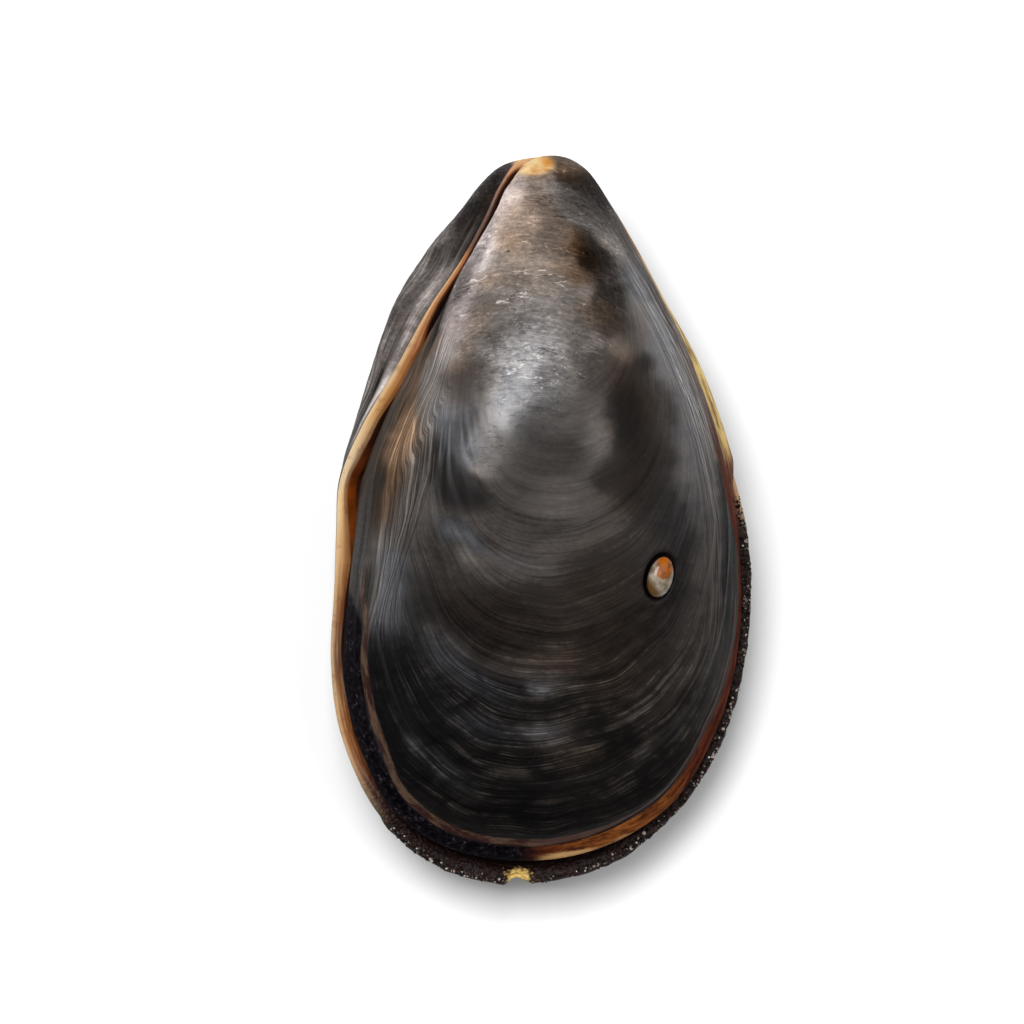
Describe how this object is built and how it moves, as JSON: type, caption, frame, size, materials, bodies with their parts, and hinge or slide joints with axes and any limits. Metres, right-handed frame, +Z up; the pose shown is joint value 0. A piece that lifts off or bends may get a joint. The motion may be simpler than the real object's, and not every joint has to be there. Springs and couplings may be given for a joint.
{
  "type": "mussel shell",
  "caption": "Mussel shell with both valves hinged at the beak and slightly ajar, growth ledges, a chipped rim and a small pearly bead in a pit.",
  "frame": {"origin": "middle of the shell's plan, on the surface it rests on", "axes": "+Y along the shell's length towards the beak, +X towards the hinge side, +Z up out of the upper valve"},
  "size_m": [0.0438, 0.0756, 0.0283],
  "materials": {
    "upper_shell": "worn satin horn-coloured skin over shell, blue-black with paler growth bands, brown and grey towards the beak",
    "lower_shell": "dark striated skin with a tan lip and a crusty dark rim; pale blue-grey nacre inside",
    "ligament": "dry horny strip, tan to brown",
    "pearl": "glossy pearly bead, amber at one end"
  },
  "bodies": {
    "root": {"upper_valve": "upper_shell", "lower_valve": "lower_shell", "hinge_ligament": "ligament", "pearl_bead": "pearl"}
  },
  "joints": []
}
